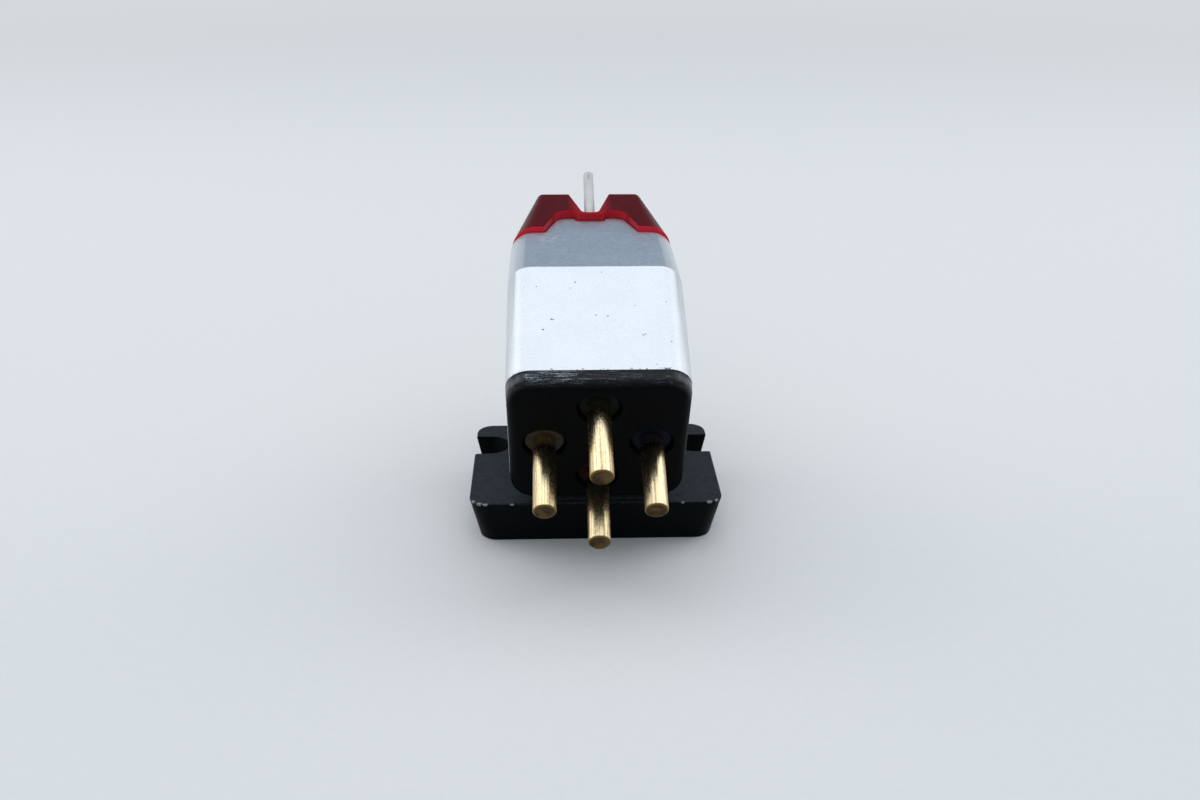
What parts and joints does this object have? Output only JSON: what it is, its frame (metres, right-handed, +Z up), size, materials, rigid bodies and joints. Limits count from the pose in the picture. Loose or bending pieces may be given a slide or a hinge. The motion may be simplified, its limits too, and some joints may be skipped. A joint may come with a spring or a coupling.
{
  "type": "turntable stylus cartridge",
  "caption": "Moving-magnet turntable cartridge: tilted silver box on a slotted mounting flange, gold lead pins at the rear and a pull-off red stylus holder with a sprung cantilever.",
  "frame": {"origin": "On the mounting face, midway between the two screw slots.", "axes": "+X across the screw slots, +Y from the lead pins toward the stylus, +Z up away from the mounting face, as the part lies in the picture."},
  "size_m": [0.0146, 0.0257, 0.0176],
  "materials": {
    "flange_black": "satin black paint on die-cast metal, edges chipped bright",
    "shell_silver": "satin silver, fine pits",
    "plug_black": "satin black moulding",
    "pin_gold": "polished gold plate",
    "disc_white": "cream insulator disc",
    "disc_blue": "blue insulator disc",
    "disc_green": "green insulator disc",
    "disc_red": "red insulator disc",
    "pole_iron": "bright nickel-iron lamination",
    "bobbin_plastic": "natural moulded plastic",
    "winding_copper": "enamelled copper wire",
    "screen_steel": "dull nickel-iron sheet",
    "carrier_black": "matt black moulding",
    "holder_red": "deep red translucent moulding",
    "sleeve_brass": "drawn brass tube",
    "anchor_steel": "bright steel",
    "damper_rubber": "matt black rubber",
    "cantilever_aluminium": "bright drawn tube",
    "magnet_nickel": "nickel-plated magnet",
    "diamond": "polished stylus point"
  },
  "bodies": {
    "cartridge": {"mounting_flange": "flange_black", "body_shell": "shell_silver", "rear_plug": "plug_black", "terminal_pin_right": "pin_gold", "terminal_pin_top": "pin_gold", "terminal_pin_left": "pin_gold", "terminal_pin_bottom": "pin_gold", "colour_disc_right": "disc_blue", "colour_disc_top": "disc_green", "colour_disc_left": "disc_white", "colour_disc_bottom": "disc_red", "yoke_left": "pole_iron", "yoke_right": "pole_iron", "pole_left_upper": "pole_iron", "pole_left_lower": "pole_iron", "pole_right_upper": "pole_iron", "pole_right_lower": "pole_iron", "bobbin_left_upper": "bobbin_plastic", "bobbin_left_lower": "bobbin_plastic", "bobbin_right_upper": "bobbin_plastic", "bobbin_right_lower": "bobbin_plastic", "winding_left_upper": "winding_copper", "winding_left_lower": "winding_copper", "winding_right_upper": "winding_copper", "winding_right_lower": "winding_copper", "channel_screen": "screen_steel", "pole_carrier": "carrier_black"},
    "stylus_unit": {"stylus_holder": "holder_red", "stylus_sleeve": "sleeve_brass", "wire_anchor": "anchor_steel", "suspension_wire": "anchor_steel"},
    "suspension": {"rubber_damper": "damper_rubber"},
    "cantilever": {"cantilever_tube": "cantilever_aluminium", "ring_magnet": "magnet_nickel", "diamond_tip": "diamond"}
  },
  "joints": [
    {"name": "stylus_pull_off", "type": "slide", "parent": "cartridge", "child": "stylus_unit", "axis": [0, 1, 0], "range_m": [0, 0.006]},
    {"name": "cantilever_vertical", "type": "hinge", "parent": "stylus_unit", "child": "suspension", "pos_m": [0, 0.00216, 0.01328], "axis": [1, 0, 0], "range_deg": [-2.5, 2.5], "stiffness_Nm_per_rad": 0.0064},
    {"name": "cantilever_lateral", "type": "hinge", "parent": "suspension", "child": "cantilever", "pos_m": [0, 0.00216, 0.01328], "axis": [0, -0.4384, 0.8988], "range_deg": [-2.5, 2.5], "stiffness_Nm_per_rad": 0.0064}
  ]
}
